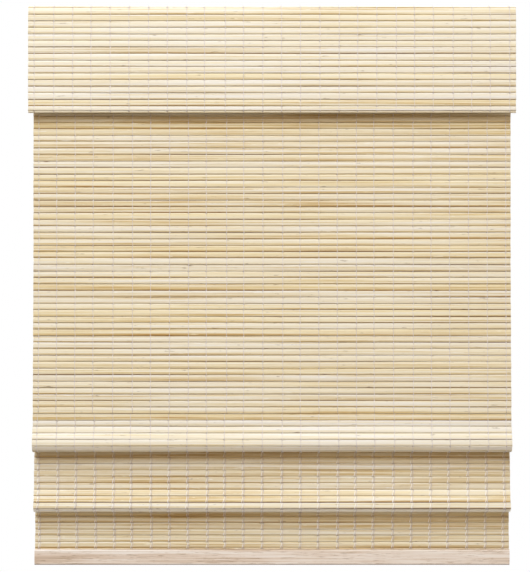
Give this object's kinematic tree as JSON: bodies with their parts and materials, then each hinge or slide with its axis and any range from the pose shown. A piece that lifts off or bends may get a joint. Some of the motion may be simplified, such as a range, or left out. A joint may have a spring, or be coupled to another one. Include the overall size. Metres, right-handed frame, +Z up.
{
  "type": "bamboo roman shade",
  "caption": "Cordless roman shade of natural bamboo slats with a short valance, folds above a wooden bottom rail, and a spring-lift headrail on wall brackets.",
  "frame": {"origin": "middle of the four wall-screw holes, on the wall plane", "axes": "+X along the shade to the right as seen from the room, -Y into the room, +Z up"},
  "size_m": [0.697, 0.0662, 0.804],
  "materials": {
    "steel": "cream enamel",
    "plastic": "moulded",
    "grey_plastic": "moulded",
    "clear_white": "moulded",
    "zinc": "zinc plated",
    "spring": "bright spring steel",
    "grip": "hook-and-loop tape",
    "pine": "planed pine",
    "bamboo": "natural bamboo slats",
    "rail_wood": "sanded pale wood",
    "tape": "woven polyester tape"
  },
  "bodies": {
    "headrail": {"headrail_channel": "steel", "end_cap_left": "plastic", "end_cap_right": "plastic", "wall_bracket_left": "zinc", "wall_bracket_right": "zinc", "grip_tape": "grip", "mat_batten": "pine", "batten_screws": "zinc", "valance_mat": "bamboo", "bamboo_mat": "bamboo", "motor_case": "plastic", "motor_cover": "plastic", "motor_spring": "spring", "reel_cradle_left": "plastic", "reel_cradle_right": "plastic", "lift_tape_left": "tape", "lift_tape_right": "tape"},
    "shaft": {"lift_shaft": "zinc", "output_drum": "grey_plastic", "tape_reel_left": "grey_plastic", "tape_reel_right": "grey_plastic", "tape_roll_left": "tape", "tape_roll_right": "tape"},
    "storage": {"storage_drum": "grey_plastic"},
    "upper_loops": {"guide_loops_upper": "clear_white"},
    "middle_loops": {"guide_loops_middle": "clear_white"},
    "rail": {"bottom_rail": "rail_wood", "tape_clip_left": "clear_white", "tape_clip_right": "clear_white", "clip_screws": "zinc", "guide_loops_folds": "clear_white"}
  },
  "joints": [
    {"name": "lift", "type": "slide", "parent": "headrail", "child": "rail", "axis": [0, 0, 1], "range_m": [0, 0.43], "deforming": ["bamboo_mat", "lift_tape_left", "lift_tape_right", "motor_spring"]},
    {"name": "shaft_turn", "type": "hinge", "parent": "headrail", "child": "shaft", "pos_m": [0, -0.03245, 0], "axis": [1, 0, 0], "range_deg": [-2333.4, 20]},
    {"name": "storage_turn", "type": "hinge", "parent": "headrail", "child": "storage", "pos_m": [0, -0.01545, 0], "axis": [1, 0, 0], "range_deg": [-3031.7, 20]},
    {"name": "upper_loops_rise", "type": "slide", "parent": "headrail", "child": "upper_loops", "axis": [0, 0, 1], "range_m": [0, 0.2105]},
    {"name": "middle_loops_rise", "type": "slide", "parent": "headrail", "child": "middle_loops", "axis": [0, 0, 1], "range_m": [0, 0.3671]}
  ],
  "couplings": [
    {"joint": "shaft_turn", "follows": "lift", "rad_per_m": -93.897},
    {"joint": "storage_turn", "follows": "lift", "rad_per_m": -122.24},
    {"joint": "upper_loops_rise", "follows": "lift", "ratio": 0.4849},
    {"joint": "middle_loops_rise", "follows": "lift", "ratio": 0.849}
  ]
}
